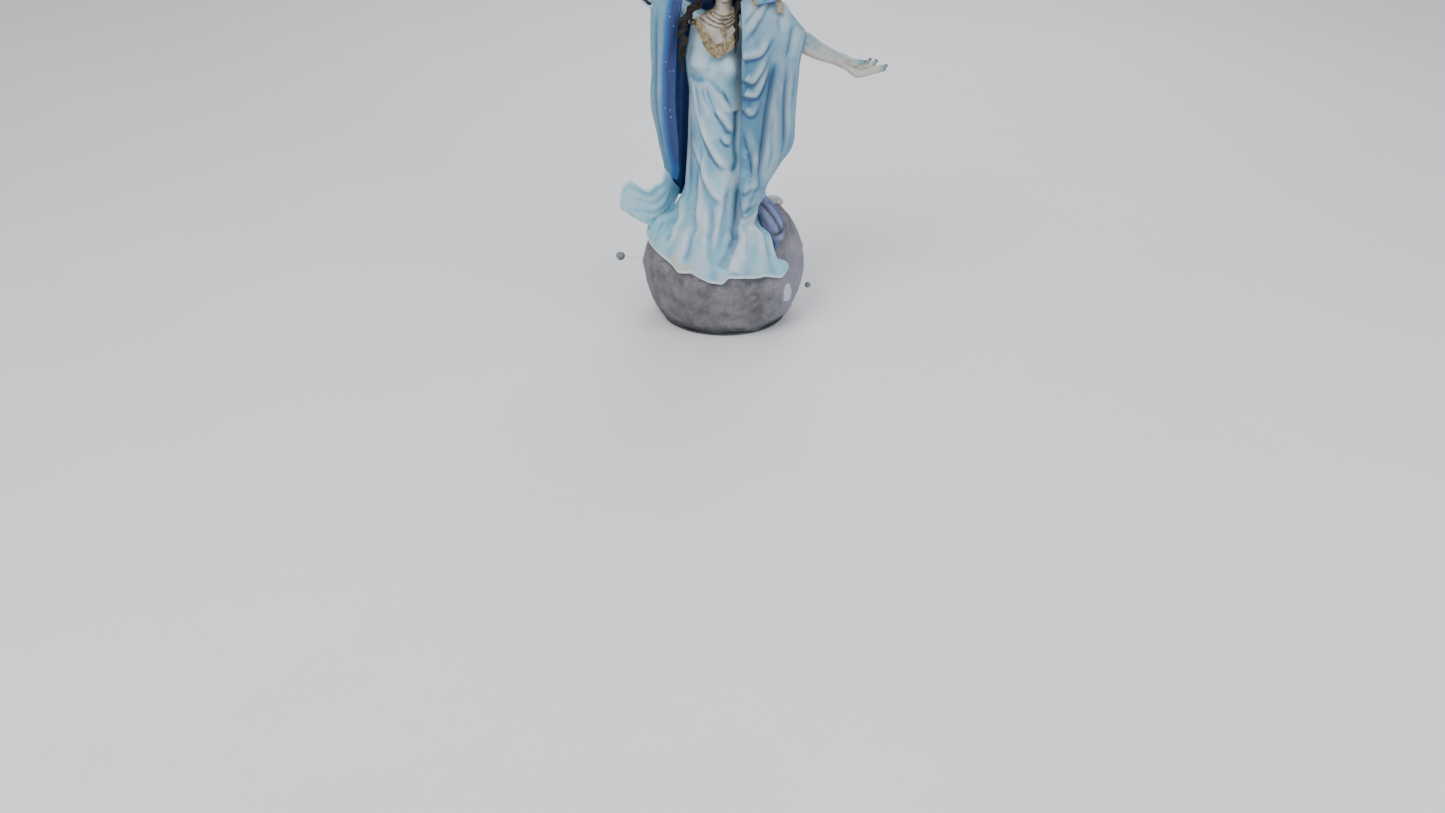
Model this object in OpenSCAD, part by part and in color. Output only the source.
// Madonna figurine on a boulder: cast pieces, pins and fixings. Millimetres, +Z up, the figure faces -Y.

/* [Boulder] */
// Radius of the round boulder that the figure stands on
rock_r = 66.5; // [66:0.5:67]
// Height of the boulder's centre above the table
rock_z = 43.5; // [43:0.5:44]
// Height of the boulder's sloping top over its centre line
seat_z = 79; // [78.5:0.25:79.25]
// Fall of the boulder's top, in millimetres up for each millimetre to the right
seat_slope = 0.2; // [0.18:0.01:0.22]
// Thickness of the felt under the boulder
felt_t = 1.5; // [1:0.25:2]
// Thickness of the plate that closes the boulder's cavity
plate_t = 3; // [2.5:0.5:4]
// Radius of the cavity under the boulder
cavity_r = 32; // [28:1:34]

/* [Fixings] */
// Diameter of the threaded rod that ties the figure to the boulder
rod_d = 6; // [5.5:0.5:6]
// Outside diameter of the brass insert cast into the gown
insert_d = 9; // [8.5:0.5:10]
// Diameter of the pins in the wrists, shoulders and neck
pin_d = 2.4; // [2:0.2:2.6]
// Diameter of the clear pins that hold the stone beads
bead_pin_d = 1.2; // [1:0.1:1.4]

/* [Casting] */
// Thickness of the cast mantle and veil
cloth_t = 2.6; // [2.4:0.1:3]
// Thickness of the lace collar
lace_t = 1.2; // [1:0.1:1.4]
// Glue gap between neighbouring castings
gap = 0.2; // [0.1:0.05:0.25]
// Diameter of the bead that stands clear of the boulder on the left
bead_left_d = 7.4; // [7:0.2:8]
// Diameter of the bead at the boulder's right side
bead_right_d = 5; // [4.6:0.2:5.4]

/* [Hidden] */
$fn = 64;

cavity_top = 34;
plate_r = cavity_r + 5;
felt_r = sqrt(rock_r * rock_r - (rock_z - felt_t) * (rock_z - felt_t)) - 1;
seat_angle = atan(seat_slope);
rod_bottom = 24;
rod_top = 112;
nut_z = cavity_top - 1.6;

// ---- Curves and surfaces ----

function clamp(i, v) = max(0, min(len(v) - 1, i));
function smooth4(a, b, c, d, t) =
    0.5 * (2 * b + (c - a) * t + (2 * a - 5 * b + 4 * c - d) * t * t + (3 * b - a - 3 * c + d) * t * t * t);
function along(v, s) =
    let (k = min(len(v) - 2, floor(s)))
    smooth4(v[clamp(k - 1, v)], v[clamp(k, v)], v[clamp(k + 1, v)], v[clamp(k + 2, v)], s - k);
function cage_point(cage, s, t) = along([for (row = cage) along(row, s)], t);
function unit(v) = v / max(norm(v), 1e-6);

// Points of a cage of control points, as n + 1 rows of m + 1.
function cage_grid(cage, n, m) = [
    for (i = [0:n]) [
        for (j = [0:m]) cage_point(cage, j / m * (len(cage[0]) - 1), i / n * (len(cage) - 1))
    ]
];
function grid_normal(g, i, j) =
    let (n = len(g) - 1, m = len(g[0]) - 1)
    unit(cross(g[min(i + 1, n)][j] - g[max(i - 1, 0)][j], g[i][min(j + 1, m)] - g[i][max(j - 1, 0)]));

// A closed sheet of even thickness t over a grid of points.
module sheet(g, t) {
    n = len(g) - 1;
    m = len(g[0]) - 1;
    c = m + 1;
    k = (n + 1) * c;
    front = [for (i = [0:n]) for (j = [0:m]) g[i][j] + grid_normal(g, i, j) * t / 2];
    back = [for (i = [0:n]) for (j = [0:m]) g[i][j] - grid_normal(g, i, j) * t / 2];
    walls = concat(
        [for (i = [0:n - 1]) for (j = [0:m - 1])
            [i * c + j, i * c + j + 1, (i + 1) * c + j + 1, (i + 1) * c + j]],
        [for (i = [0:n - 1]) for (j = [0:m - 1])
            [k + i * c + j, k + (i + 1) * c + j, k + (i + 1) * c + j + 1, k + i * c + j + 1]]
    );
    rims = concat(
        [for (j = [0:m - 1]) [j, k + j, k + j + 1, j + 1]],
        [for (j = [0:m - 1]) [n * c + j, n * c + j + 1, k + n * c + j + 1, k + n * c + j]],
        [for (i = [0:n - 1]) [i * c, (i + 1) * c, k + (i + 1) * c, k + i * c]],
        [for (i = [0:n - 1]) [i * c + m, k + i * c + m, k + (i + 1) * c + m, (i + 1) * c + m]]
    );
    polyhedron(points = concat(front, back), faces = triangles(concat(walls, rims)), convexity = 8);
}

function triangles(quads) = [for (q = quads) each [[q[0], q[1], q[2]], [q[0], q[2], q[3]]]];

// A closed solid through rings of equal count, with a middle point at each end.
module loft(rings, low, high) {
    n = len(rings) - 1;
    m = len(rings[0]);
    low_i = (n + 1) * m;
    high_i = low_i + 1;
    side = [for (i = [0:n - 1]) for (j = [0:m - 1])
        [i * m + j, i * m + (j + 1) % m, (i + 1) * m + (j + 1) % m, (i + 1) * m + j]];
    caps = concat(
        [for (j = [0:m - 1]) [low_i, (j + 1) % m, j]],
        [for (j = [0:m - 1]) [high_i, n * m + j, n * m + (j + 1) % m]]
    );
    points = concat([for (r = rings) each r], [low, high]);
    polyhedron(points = points, faces = concat(triangles(side), caps), convexity = 8);
}

// A round tube swept along a smooth path, with a radius at each path point.
module sweep(path, radii, sides = 12, steps = 16) {
    last = len(path) - 1;
    line = [for (i = [0:steps]) along(path, i / steps * last)];
    size = [for (i = [0:steps]) along(radii, i / steps * last)];
    rings = [for (i = [0:steps])
        let (d = unit(line[min(i + 1, steps)] - line[max(i - 1, 0)]),
             a = unit(cross(d, [0.31, 0.87, 0.13])), b = cross(d, a))
        [for (j = [0:sides - 1]) line[i] + size[i] * (cos(360 * j / sides) * a - sin(360 * j / sides) * b)]];
    loft(rings, line[0], line[steps]);
}

// A pin between two points.
module pin(from, to, d) {
    v = to - from;
    translate(from)
        rotate([0, acos(v[2] / norm(v)), atan2(v[1], v[0])])
            cylinder(d = d, h = norm(v), $fn = 32);
}

// ---- The gown's shape ----

// Extents from the centre line at each height: left, right, front and back.
left_w = [[52, 60], [70, 56], [88, 45], [97, 38], [107, 32], [123, 28.7], [148, 27], [170, 26.5],
    [189, 26.7], [210, 30.4], [222, 29.5], [240, 27.5], [251, 25], [256, 20]];
right_w = [[52, 52], [70, 46], [88, 39], [97, 36], [107, 33], [123, 28], [148, 23], [170, 20],
    [189, 17], [210, 15.5], [240, 15], [251, 14.5], [256, 12]];
front_w = [[52, 66], [70, 62], [88, 50], [97, 42], [107, 34], [123, 28], [148, 25], [170, 23],
    [189, 23], [200, 28], [212, 31], [228, 26], [240, 17], [251, 9], [256, 7]];
back_w = [[52, 44], [79, 42], [90, 37], [107, 30.5], [123, 26.5], [148, 22], [170, 19], [189, 17],
    [215, 16], [230, 15], [243, 13.5], [251, 11], [256, 8]];

// Height of the hem by the angle round the figure, 0 at the front and positive to the right.
hem_z = [[-180, 79.4], [-140, 73], [-115, 68.5], [-96, 69.5], [-82, 71], [-66, 69], [-47, 65.6], [-39, 63],
    [-33, 58], [-23, 60], [-17, 57], [-10, 54], [-1, 53], [3, 58], [15, 57], [22, 56], [30, 56],
    [43, 51], [48, 56], [54, 72], [60, 84], [70, 86.8], [90, 86.6], [120, 86], [150, 83], [180, 79.4]];
// Height of the neckline, a deep V at the front.
neck_z = [[-180, 251], [-100, 251], [-60, 250], [-16, 226], [30, 240], [60, 250], [180, 251]];

function seat_at(x) = seat_z + seat_slope * x;
function rock_r_at(z, extra) = sqrt(max(0, pow(rock_r + extra, 2) - pow(z - rock_z, 2)));
function gown_point(a, z) =
    let (side = a < 0 ? lookup(z, left_w) : lookup(z, right_w),
         face = abs(a) < 90 ? lookup(z, front_w) : lookup(z, back_w),
         hug = abs(a) < 62 || (a < 0 && a > -110) ? rock_r_at(z, 3) : 0,
         hugs = z < seat_z + 12)
    [sin(a) * max(side, hugs ? hug : 0), -cos(a) * max(face, hugs ? hug : 0), z];

gown_cols = 48;
gown_rows = 22;
function gown_angle(j) = 180 - 360 * j / gown_cols;
function cap_z(a, r) = 224 + (lookup(a, neck_z) - 2 - 224) * pow(r, 1.6);

// The boulder's outer form, grown by extra, under its sloping top.
module rock_form(extra) {
    intersection() {
        translate([0, 0, rock_z]) sphere(r = rock_r + extra);
        rotate([0, -seat_angle, 0])
            translate([-200, -200, seat_z * cos(seat_angle) + extra - 400]) cube([400, 400, 400]);
        translate([-200, -200, felt_t]) cube([400, 400, 400]);
    }
}

// ---- Boulder and fixings ----

module rock_base() {
    color("dimgray") difference() {
        rock_form(0);
        translate([0, 0, felt_t - 1]) cylinder(r = cavity_r, h = cavity_top - felt_t + 1);
        translate([0, 0, felt_t - 1]) cylinder(r = plate_r + gap, h = plate_t + 1);
        translate([0, 0, cavity_top - 1]) cylinder(d = rod_d + 0.6, h = 80);
        screw_places() cylinder(d = 2, h = 14, $fn = 24);
        pin(bead_left_root, bead_left_at, bead_pin_d);
        pin(bead_right_root, bead_right_at, bead_pin_d);
    }
}

module screw_places() {
    for (i = [0:3]) rotate([0, 0, 45 + 90 * i]) translate([plate_r - 2.6, 0, felt_t + 0.2]) children();
}

module base_plate() {
    color("burlywood") translate([0, 0, felt_t]) difference() {
        cylinder(r = plate_r, h = plate_t - 0.1);
        for (i = [0:3]) rotate([0, 0, 45 + 90 * i]) translate([plate_r - 2.6, 0, -1]) {
            cylinder(d = 2.4, h = 10, $fn = 24);
            translate([0, 0, 0.9]) cylinder(d1 = 4.6, d2 = 2.4, h = 1.5, $fn = 24);
        }
    }
}

module plate_screws() {
    color("silver") screw_places() {
        cylinder(d = 1.9, h = 12, $fn = 24);
        cylinder(d1 = 4.2, d2 = 1.9, h = 1.4, $fn = 24);
    }
}

module felt_pad() {
    color("darkgreen") cylinder(r = felt_r, h = felt_t - 0.05);
}

module tie_rod() {
    color("silver") translate([0, 0, rod_bottom]) cylinder(d = rod_d - 0.2, h = rod_top - rod_bottom);
}

module tie_washer() {
    color("silver") translate([0, 0, nut_z]) difference() {
        cylinder(d = 18, h = 1.5);
        translate([0, 0, -1]) cylinder(d = rod_d + 0.4, h = 4);
    }
}

module tie_nut() {
    color("silver") translate([0, 0, nut_z - 5.1]) difference() {
        cylinder(d = 11.5, h = 5, $fn = 6);
        translate([0, 0, -1]) cylinder(d = rod_d, h = 8);
    }
}

module brass_insert() {
    color("gold") translate([0, 0, seat_z + 3]) difference() {
        cylinder(d = insert_d, h = 26);
        translate([0, 0, -1]) cylinder(d = rod_d, h = 30);
    }
}

// ---- Figure ----

module gown_form() {
    rows = [for (i = [0:gown_rows]) [for (j = [0:gown_cols - 1])
        let (a = gown_angle(j), low = lookup(a, hem_z), high = lookup(a, neck_z))
        gown_point(a, low + (high - low) * i / gown_rows)]];
    cap = [for (r = [0.9, 0.6, 0.3]) [for (j = [0:gown_cols - 1])
        let (a = gown_angle(j), p = gown_point(a, lookup(a, neck_z))) [p[0] * r, p[1] * r, cap_z(a, r)]]];
    under = [for (r = [0.5, 0.9]) [for (j = [0:gown_cols - 1])
        let (a = gown_angle(j), p = gown_point(a, lookup(a, hem_z)))
        [p[0] * r, p[1] * r, min(p[2], seat_at(p[0] * r) - 1)]]];
    loft(concat(under, rows, cap), [0, 0, seat_z - 1], [0, 0, 224]);
}

module gown() {
    color("lightblue") difference() {
        gown_form();
        rock_form(gap);
        translate([0, 0, seat_z - 2]) cylinder(d = insert_d, h = 38);
        shoulder_bores();
    }
}

module shoulder_bores() {
    pin(shoulder_right - [9, 0, -3], shoulder_right + [6, 0, -2], pin_d);
    pin(shoulder_left + [9, 0, -3], shoulder_left - [6, 0, -2], pin_d);
}

module torso_form() {
    seat = [for (r = [0.3, 0.6, 0.9]) [for (j = [0:gown_cols - 1])
        let (a = gown_angle(j), p = gown_point(a, lookup(a, neck_z)))
        [p[0] * r, p[1] * r, cap_z(a, r) + gap]]];
    skin = [for (k = [0:5]) [for (j = [0:gown_cols - 1])
        let (a = gown_angle(j), z0 = lookup(a, neck_z), p = gown_point(a, z0), f = pow(1 - k / 5, 1.6),
             n = neck_point(a, neck_r, z0 + (neck_low - z0) * k / 5 + 0.4))
        [n[0] + (p[0] * 0.97 - n[0]) * f, n[1] + (p[1] * 0.97 - n[1]) * f, n[2]]]];
    top = [[for (j = [0:gown_cols - 1]) neck_point(gown_angle(j), neck_r - 0.6, neck_cut - gap)]];
    loft(concat(seat, skin, top), [0, 0, 224 + gap], [0, 0, neck_cut - gap]);
}

module torso() {
    color("linen") difference() {
        torso_form();
        pin([0, 0, 248], [0, 0, 300], pin_d);
        shoulder_bores();
    }
}

neck_r = 7;
neck_low = 257;
neck_cut = 262;
skull = [0, 2.5, 284];
function neck_point(a, r, z) = [r * sin(a), -r * cos(a), z];

module head_form(grow) {
    hull() {
        translate(skull) sphere(r = 12.2 + grow, $fn = 32);
        translate([0, -4.5, 281]) sphere(r = 9 + grow, $fn = 28);
        translate([0, -6, 270.5]) sphere(r = 6.2 + grow, $fn = 24);
    }
}

module head() {
    color("linen") difference() {
        union() {
            head_form(0);
            translate([0, 0, neck_cut]) cylinder(r = neck_r - 0.6, h = 12);
        }
        pin([0, 0, 240], [0, 0, 276], pin_d);
    }
}

module neck_pin() {
    color("silver") pin([0, 0, 248.5], [0, 0, 275.5], pin_d - 0.1);
}

module hair_back() {
    color("saddlebrown") resize([0, 0, 0]) difference() {
        hull() {
            translate(skull + [0, 1.5, 1]) sphere(r = 13.2, $fn = 32);
            translate([0, 4.5, 264]) sphere(r = 8, $fn = 24);
        }
        head_form(0.15);
        translate([-30, -40, 200]) cube([60, 33, 120]);
        translate([0, 0, 200]) cylinder(r = neck_r + 0.4, h = 80, $fn = 32);
        translate([-8, -3, 240]) cube([16, 14, 16.6]);
    }
}

hair_left_path = [[-10.5, -8.5, 281], [-13.5, -11.5, 272], [-19.5, -14, 263], [-28, -17, 255],
    [-32, -20, 246], [-31.5, -22, 236], [-33, -23, 225], [-31.5, -24, 212]];
hair_right_path = [[10.5, -8, 281], [12, -10.5, 271], [10.5, -12.5, 261], [9, -20, 251],
    [9.5, -27.5, 241], [8, -32.5, 231]];

module hair_lock_left() {
    color("saddlebrown") sweep(hair_left_path, [1.5, 2.4, 3, 3.2, 3.3, 3.2, 2.8, 0.8], 12, 24);
}

module hair_lock_right() {
    color("saddlebrown") sweep(hair_right_path, [1.5, 2, 1.8, 1.8, 1.6, 0.6], 10, 18);
}

// ---- Arms ----

shoulder_right = [19, -1, 245];
elbow_right = [60, -1.5, 231.5];
wrist_right = [92, -10, 218];
shoulder_left = [-21, 2, 249.5];
elbow_left = [-50, 3, 262];
wrist_left = [-66, -13, 279];

// An arm from inside the shoulder to the wrist, cut to sit on the gown and the torso.
module arm(shoulder, elbow, wrist, radii) {
    upper = (shoulder + elbow) / 2 + [0, 0.5, 1];
    fore = (elbow + wrist) / 2 + [0, 1, 0.3];
    inside = [shoulder[0] * 0.7, shoulder[1], shoulder[2] - 1];
    resize([0, 0, 0]) difference() {
        sweep([inside, upper, elbow, fore, wrist], radii, 18, 20);
        gown_form();
        torso_form();
        translate([-14.8, -30, 200]) cube([29.6, 60, 80]);
    }
}

module outstretched_arm() {
    color("linen") difference() {
        arm(shoulder_right, elbow_right, wrist_right, [6, 6.6, 7.2, 6, 4.6]);
        pin(shoulder_right - [9, 0, -3], shoulder_right + [5, 0, -1.6], pin_d);
        pin(wrist_right - [7, -2.2, -3.6], wrist_right + [1, -0.3, -0.5], pin_d);
    }
}

module outstretched_pins() {
    color("silver") {
        pin(shoulder_right - [8.6, 0, -2.9], shoulder_right + [4.6, 0, -1.5], pin_d - 0.1);
        pin(wrist_right - [6.6, -2.1, -3.4], wrist_right + [6.6, -2.1, -3.4], pin_d - 0.1);
    }
}

module raised_arm() {
    color("linen") difference() {
        arm(shoulder_left, elbow_left, wrist_left, [5.6, 5.6, 5.6, 5, 4]);
        pin(shoulder_left + [9, 0, -3], shoulder_left - [5, 0, -1.6], pin_d);
        pin(wrist_left + [4.4, 4.4, -4.6], wrist_left, pin_d);
    }
}

module raised_pins() {
    color("silver") {
        pin(shoulder_left + [8.6, 0, -2.9], shoulder_left - [4.6, 0, -1.5], pin_d - 0.1);
        pin(wrist_left + [4, 4, -4.2], wrist_left - [4, 4, -4.2], pin_d - 0.1);
    }
}

// A hand pointing along +X with its palm up: a palm, four fingers and a thumb.
module hand() {
    hull() {
        translate([1, 0, 0]) rotate([0, 90, 0]) cylinder(r = 3.7, h = 1, $fn = 24);
        translate([16, -5.2, -1.2]) sphere(r = 2.6, $fn = 16);
        translate([16.5, 5.2, -1.2]) sphere(r = 2.6, $fn = 16);
    }
    for (f = [[-6, 12.5, -7], [-2, 15, -2], [2, 15.4, 2.5], [6, 14.2, 7]])
        translate([16, f[0], -1]) rotate([0, -14, f[2]]) hull() {
            sphere(r = 2.1, $fn = 14);
            translate([f[1] * 0.9, 0, 1.2]) sphere(r = 1.5, $fn = 14);
        }
    hull() {
        translate([6, -3.5, 0.5]) sphere(r = 2.6, $fn = 14);
        translate([19, -7.5, 5]) sphere(r = 1.7, $fn = 14);
    }
}

module outstretched_hand() {
    color("linen") difference() {
        translate(wrist_right) rotate([0, 0, -11]) rotate([0, 15, 0]) scale(1.12) hand();
        pin(wrist_right, wrist_right + [7, -2.2, -3.6], pin_d);
    }
}

module raised_hand() {
    color("linen") difference() {
        translate(wrist_left) rotate([0, 0, 205]) rotate([0, -35, 0]) mirror([0, 1, 0]) scale(0.92) hand();
        pin(wrist_left, wrist_left - [4.4, 4.4, -4.6], pin_d);
    }
}

sleeve_path = [shoulder_left + [-6, 0.5, 2], (shoulder_left + elbow_left) / 2 + [0, 0.5, 1],
    elbow_left + [-1, 0, 0.5], (elbow_left * 2 + wrist_left) / 3];

module sleeve_form(grow) {
    sweep(sleeve_path, [7.4 + grow, 7.8 + grow, 8.6 + grow, 9 + grow], 20, 12);
}

module raised_sleeve() {
    hollow = [sleeve_path[0] + [3, 0, -1], sleeve_path[1], sleeve_path[2] + [0.8, 0, -0.4],
        sleeve_path[3] + [-3, -3, 3]];
    color("lightblue") resize([0, 0, 0]) difference() {
        sleeve_form(0);
        sweep(hollow, [6.2, 6.3, 6.5, 7.8], 20, 12);
        gown_form();
        torso_form();
    }
}

// ---- Mantle and veil ----

veil_cage = [
    [[-1, -11, 295], [-0.9, -10.7, 295.3], [-0.6, -10.5, 295.6], [-0.3, -10.4, 295.8], [0, -10.3, 295.9],
        [0.3, -10.4, 295.8], [0.6, -10.5, 295.6], [0.9, -10.7, 295.3], [1, -11, 295]],
    [[-9, -10.5, 291.5], [-9.5, -6, 296], [-7.5, -1, 299.5], [-4, 2, 301.2], [0, 3, 301.8],
        [4, 2, 301.2], [7.5, -1, 299.5], [9.5, -6, 296], [9, -10.5, 291.5]],
    [[-14.5, -9, 283], [-17, -2, 287], [-15.5, 8, 291], [-8.5, 16, 293], [0, 19, 294],
        [8.5, 16, 293], [15.5, 8, 291], [17, -2, 287], [14.5, -9, 283]],
    [[-17, -8, 275], [-22, 0, 277], [-21, 10, 278], [-12, 19, 280], [0, 22.5, 281],
        [12, 19, 280], [21, 10, 278], [22, 0, 277], [16.5, -8, 274]],
    [[-21, -6, 270], [-32, -1, 272.5], [-31, 13, 270], [-16, 22, 267], [0, 25, 266],
        [16, 22, 267], [30, 13, 271], [32, -2, 273.5], [19, -9, 272.5]],
    [[-26, -4, 269], [-41, -2, 273.5], [-43, 13, 268], [-22, 25, 255], [0, 29, 251],
        [22, 25, 253], [40, 12, 265], [43, -8, 266.5], [24, -16, 264.5]]
];

back_cage = [
    [[-34, -9, 259], [-44, -10, 259], [-55, -4, 261], [-47, 10, 259], [-26, 14, 261], [0, 15, 263],
        [24, 13.5, 260], [43, 10, 254], [57, 12, 238]],
    [[-37, -12, 243], [-46, -15, 244], [-56, -5, 245], [-49, 11, 244], [-28, 16, 243], [0, 16.5, 243],
        [25, 16.5, 242], [43, 14, 238], [56.5, 12, 229]],
    [[-39, -12, 215], [-48, -15, 215], [-56.5, -4, 216], [-49, 11, 215], [-29, 18, 215], [0, 18.5, 215],
        [26, 18.5, 214], [43, 15, 210], [54, 11, 205]],
    [[-40, -11, 181], [-48.5, -14, 181], [-57, -3, 182], [-48, 12, 181], [-30, 19, 180], [0, 20, 180],
        [28, 19.5, 180], [42, 16, 180], [51, 10, 179]],
    [[-38, -9, 151], [-46, -11, 151], [-52, -2, 153], [-46, 12, 150], [-31, 22, 146], [0, 24.5, 144],
        [29, 22.5, 146], [40, 18, 149], [48, 9, 152]],
    [[-37, -2, 127], [-43, -3, 127], [-48, 2, 127], [-45, 12, 119], [-32, 25, 112], [0, 31.5, 110],
        [27, 27, 115], [33, 21, 120], [37, 12, 127]],
    [[-38, 4, 116], [-42.5, 4, 117], [-46, 5, 116], [-44, 14, 101], [-32, 27, 94], [0, 42.5, 84],
        [27, 36, 90], [32, 25, 97], [32, 14, 106]]
];

front_cage = [
    [[16, 9, 263], [24, 10.5, 262.5], [33, 9.5, 260.5], [43, 7, 256.5], [58, 9, 240.5]],
    [[14, -7, 266], [24, -4, 266.5], [34, -2, 266], [44, -2, 261], [62, -3, 239.5]],
    [[14, -18, 258], [23, -15, 257], [34, -12, 255], [46, -11, 248.5], [61.5, -10.5, 233.5]],
    [[14.5, -29, 242], [24.5, -26, 239.5], [36, -21, 236.5], [48, -16.5, 229.5], [58.5, -11.5, 219.5]],
    [[14.5, -33.5, 218.5], [25.5, -30, 216], [36.5, -23, 213], [47.5, -17, 209.5], [57, -9, 203.5]],
    [[15, -28, 188.5], [25.5, -26, 187], [36, -22, 185], [45.5, -17, 181.5], [54.5, -9, 177.5]],
    [[13.5, -29, 159], [23.5, -27, 158], [34, -23, 156], [43.5, -18, 153], [53, -10, 149.5]],
    [[13.5, -32.5, 134], [20.5, -32, 133], [28.5, -29, 133], [35.5, -24, 134.5], [44, -16, 135.5]],
    [[13.5, -40, 113.5], [17.5, -40, 112.5], [22, -37.5, 112.5], [28, -33, 115.5], [35, -25, 123.5]],
    [[14.5, -46, 101.5], [16.5, -46, 101.5], [20.5, -44, 102.5], [25.5, -39, 106.5], [31, -31, 113]]
];

train_cage = [
    [[-47.5, 1, 124], [-44, 3, 119], [-42, 8, 111], [-37.5, 17, 102.5]],
    [[-50, 0, 114.5], [-46.5, 4, 107], [-43.5, 9, 99], [-39, 15, 95.5]],
    [[-56, -3, 111.5], [-51, 0, 100.5], [-47.5, 4, 92], [-43.5, 9, 89]],
    [[-62, -8, 109], [-57.5, -5, 97.5], [-53.5, -2, 88], [-49.5, 2, 84]],
    [[-68.5, -12, 114], [-65.5, -10, 100], [-61, -7, 86], [-57, -5, 77.5]],
    [[-75.5, -15, 120], [-75, -14, 105], [-69.5, -12, 90.5], [-63.5, -9, 81.5]],
    [[-81.5, -17, 115], [-82.5, -17, 107], [-83, -15, 98.5], [-77.5, -14, 93]]
];

// Each point's x, y and lift off the boulder
curl_plan = [
    [[30, -28, 2], [34, -22, 2.5], [35, -10, 2]],
    [[33, -35, 2], [38, -29, 3], [40, -15, 2]],
    [[35, -41, 2], [43, -32, 3], [44.5, -19, 2]],
    [[37, -45, 2], [46.3, -34, 3], [48, -23, 1.6]],
    [[38, -48, 1.8], [43, -42, 2.4], [46.5, -35, 1.6]]
];
curl_cage = [for (row = curl_plan) [for (p = row)
    [p[0], p[1], rock_z + sqrt(pow(rock_r + p[2], 2) - p[0] * p[0] - p[1] * p[1])]]];

module veil_hood() {
    color("lightskyblue") sheet(cage_grid(veil_cage, 16, 28), cloth_t);
}

module mantle_back() {
    color("steelblue") resize([0, 0, 0]) difference() {
        sheet(cage_grid(back_cage, 20, 34), cloth_t);
        sleeve_form(gap);
    }
}

module mantle_front_fall() {
    color("lightskyblue") sheet(cage_grid(front_cage, 24, 12), cloth_t);
}

module mantle_train() {
    color("paleturquoise") resize([0, 0, 0]) difference() {
        sheet(cage_grid(train_cage, 18, 10), cloth_t);
        sheet(cage_grid(back_cage, 20, 34), cloth_t);
        gown_form();
        rock_form(gap);
    }
}

module mantle_hem_curl() {
    color("mediumslateblue") resize([0, 0, 0]) difference() {
        sheet(cage_grid(curl_cage, 12, 10), cloth_t);
        rock_form(gap);
        gown_form();
    }
}

// ---- Gilding ----

collar_cage = [
    [[-20, -13, 252.5], [-15, -20.5, 244], [-10.5, -26, 236], [-6, -29, 231],
        [0, -27.5, 232.5], [6, -24.5, 236], [11, -19, 243]],
    [[-23.5, -12, 249.5], [-18.5, -21.5, 240], [-14, -28.5, 231.5], [-7.5, -32, 223.5],
        [1, -31.5, 227], [8, -29, 232], [12, -24, 238]]
];
necklace_path = [[-9.5, 2, 258.5], [-9.5, -4, 257], [-7, -11, 254], [-3.5, -16.5, 250.5], [-1, -19.5, 247.5],
    [2.5, -16.5, 250.5], [6.5, -11, 254], [9.5, -4, 257], [9.5, 2, 258.5]];

module lace_collar() {
    color("goldenrod") sheet(cage_grid(collar_cage, 4, 24), lace_t);
}

module necklace() {
    color("goldenrod") sweep(necklace_path, [1, 1.1, 1.3, 1.8, 2.2, 1.8, 1.3, 1.1, 1], 8, 32);
}

module shoulder_brooch() {
    color("darkgoldenrod") translate([-24, -15, 250.5]) sphere(d = 4.4, $fn = 32);
}

// The braid along the veil's face edge, from its left corner over the brow to its right one.
module veil_trim() {
    last = len(veil_cage) - 1;
    left = [for (k = [last:-1:1]) veil_cage[k][0] + [-0.6, -1.7, -0.4]];
    right = [for (k = [1:last]) veil_cage[k][8] + [0.6, -1.7, -0.4]];
    color("goldenrod") sweep(concat(left, [[0, -12.8, 295.2]], right), [for (k = [0:2 * last]) 1], 8, 44);
}

module veil_tassel() {
    color("goldenrod") {
        translate([42.5, -11.5, 267.5]) sphere(r = 2.2, $fn = 24);
        translate([43, -12.5, 256.5]) cylinder(r1 = 2.4, r2 = 1.3, h = 9.5, $fn = 24);
    }
}

// ---- Stones ----

bead_left_at = [-85.2, 0, 49];
bead_left_root = [-56, 0, 46];
bead_right_at = [69.4, -2, 24];
bead_right_root = [50, -1.5, 30];

module quartz_pebble() {
    color("lightgray") resize([0, 0, 0]) difference() {
        hull() {
            translate([38.5, 22, 88.6]) sphere(r = 5.4, $fn = 24);
            translate([45, 23, 87.7]) sphere(r = 4, $fn = 24);
            translate([36, 29, 87]) sphere(r = 3.4, $fn = 20);
        }
        rock_form(gap);
    }
}

module bead(at, root, d) {
    color("slategray") difference() {
        translate(at) sphere(d = d, $fn = 48);
        pin(root, at, bead_pin_d);
    }
}

module bead_pin(at, root) {
    trim = (at - root) * 0.02;
    color("white", 0.4) pin(root + trim, at - trim, bead_pin_d - 0.1);
}

module bead_left() bead(bead_left_at, bead_left_root, bead_left_d);
module bead_left_pin() bead_pin(bead_left_at, bead_left_root);
module bead_right() bead(bead_right_at, bead_right_root, bead_right_d);
module bead_right_pin() bead_pin(bead_right_at, bead_right_root);

rock_base();
base_plate();
plate_screws();
felt_pad();
tie_rod();
tie_nut();
tie_washer();
brass_insert();
gown();
torso();
head();
neck_pin();
hair_back();
hair_lock_left();
hair_lock_right();
outstretched_arm();
outstretched_hand();
outstretched_pins();
raised_arm();
raised_hand();
raised_pins();
raised_sleeve();
veil_hood();
veil_trim();
veil_tassel();
mantle_back();
mantle_front_fall();
mantle_train();
mantle_hem_curl();
lace_collar();
necklace();
shoulder_brooch();
quartz_pebble();
bead_left();
bead_left_pin();
bead_right();
bead_right_pin();
